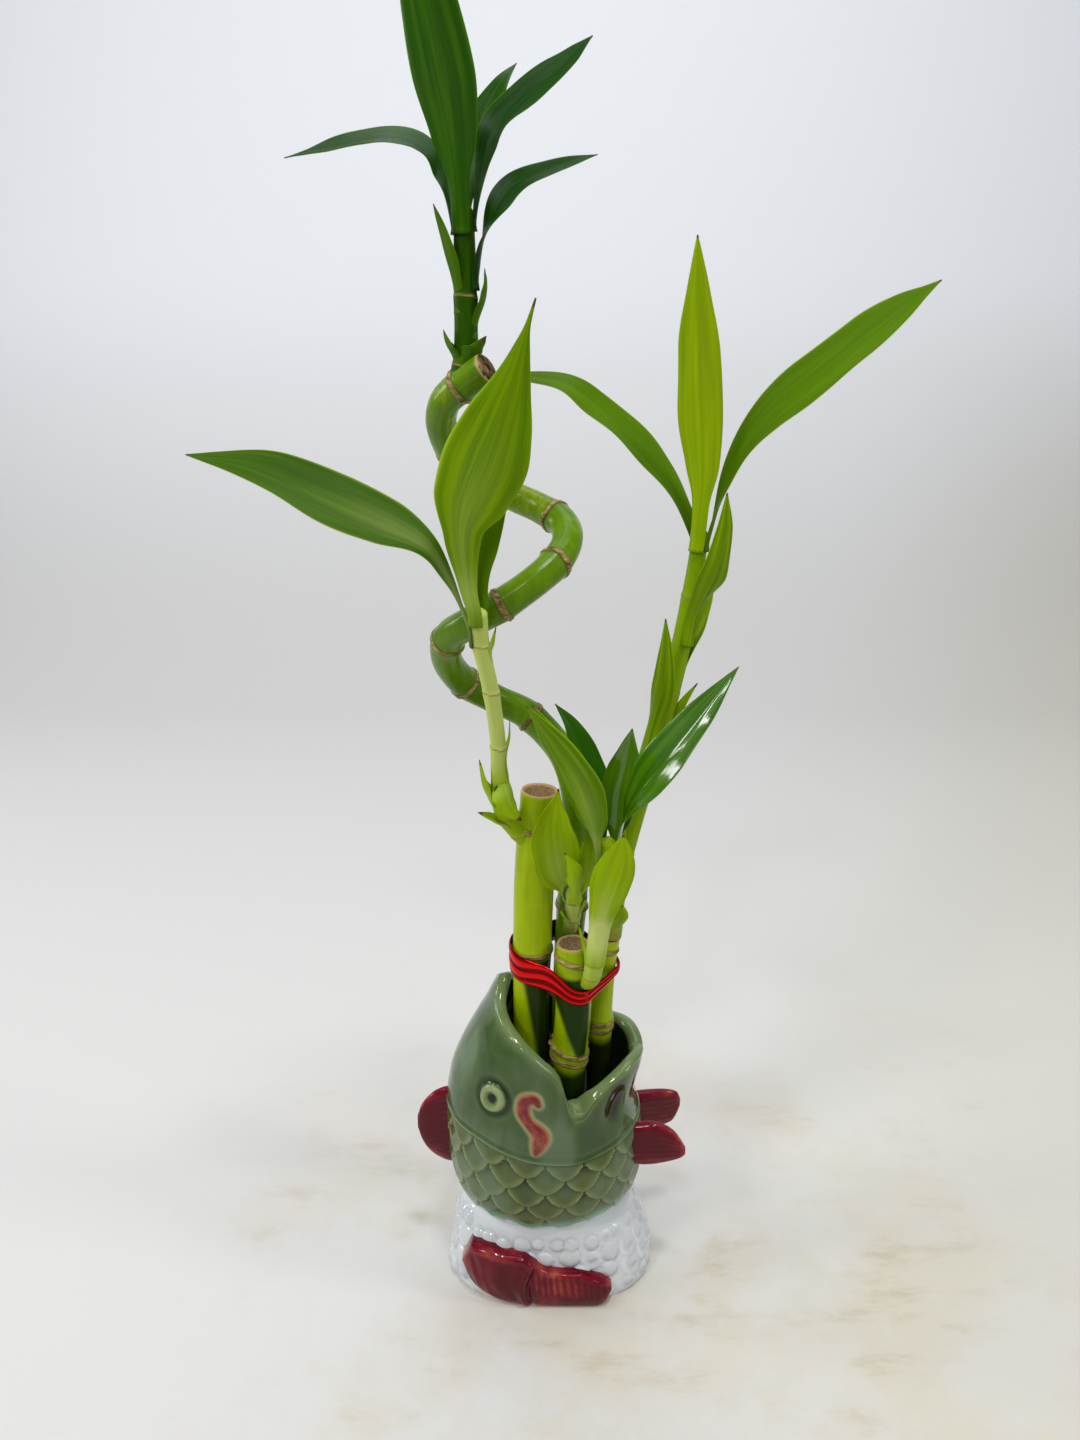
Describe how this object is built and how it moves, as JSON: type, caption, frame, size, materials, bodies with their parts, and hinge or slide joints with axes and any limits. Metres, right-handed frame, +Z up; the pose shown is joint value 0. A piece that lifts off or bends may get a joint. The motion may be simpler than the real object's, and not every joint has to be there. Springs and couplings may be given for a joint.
{
  "type": "lucky bamboo in a ceramic fish vase",
  "caption": "Lucky bamboo canes, one grown in a spiral, with leafy shoots, tied with red foil and standing in water in a glazed ceramic vase shaped as an upright fish on foam.",
  "frame": {"origin": "middle of the vase's flat foot, on the surface it stands on", "axes": "+Z up, +Y away from the viewer, +X towards the fish's throat at the right of the front view"},
  "size_m": [0.2534, 0.0775, 0.5141],
  "materials": {
    "celadon_glaze": "glossy green celadon glaze, pooled darker in the hollows, white foam foot, wine red fins",
    "water": "clear, still",
    "cane": "smooth waxy green skin with tan node scars and dry cut ends",
    "red_foil": "metallic red foil ribbon",
    "stem": "pale green leaf sheaths, satin",
    "leaf": "waxy mid green with fine parallel veins",
    "leaf_dark": "glossy deep green with fine parallel veins"
  },
  "bodies": {
    "root": {"vase": "celadon_glaze", "water": "water", "cane_left": "cane", "cane_front": "cane", "cane_spiral": "cane", "cane_right": "cane", "tie": "red_foil", "stem_left": "stem", "stem_front": "stem", "stem_middle": "stem", "stem_right": "stem", "stem_top": "stem", "leaf_left_low": "leaf", "leaf_left_tall": "leaf", "leaf_left_back": "leaf", "leaf_front_wide": "leaf", "leaf_front_left": "leaf", "leaf_front_inner": "leaf", "leaf_front_dark": "leaf_dark", "leaf_front_short": "leaf_dark", "leaf_front_right": "leaf_dark", "leaf_middle_wide": "leaf", "leaf_middle_young": "leaf", "leaf_middle_right": "leaf", "leaf_right_tall": "leaf", "leaf_right_wide": "leaf", "leaf_right_arched": "leaf", "leaf_right_upright": "leaf", "leaf_right_side": "leaf", "leaf_top_tall": "leaf_dark", "leaf_top_left": "leaf_dark", "leaf_top_right_low": "leaf_dark", "leaf_top_right_high": "leaf_dark", "leaf_top_back": "leaf_dark"}
  },
  "joints": []
}
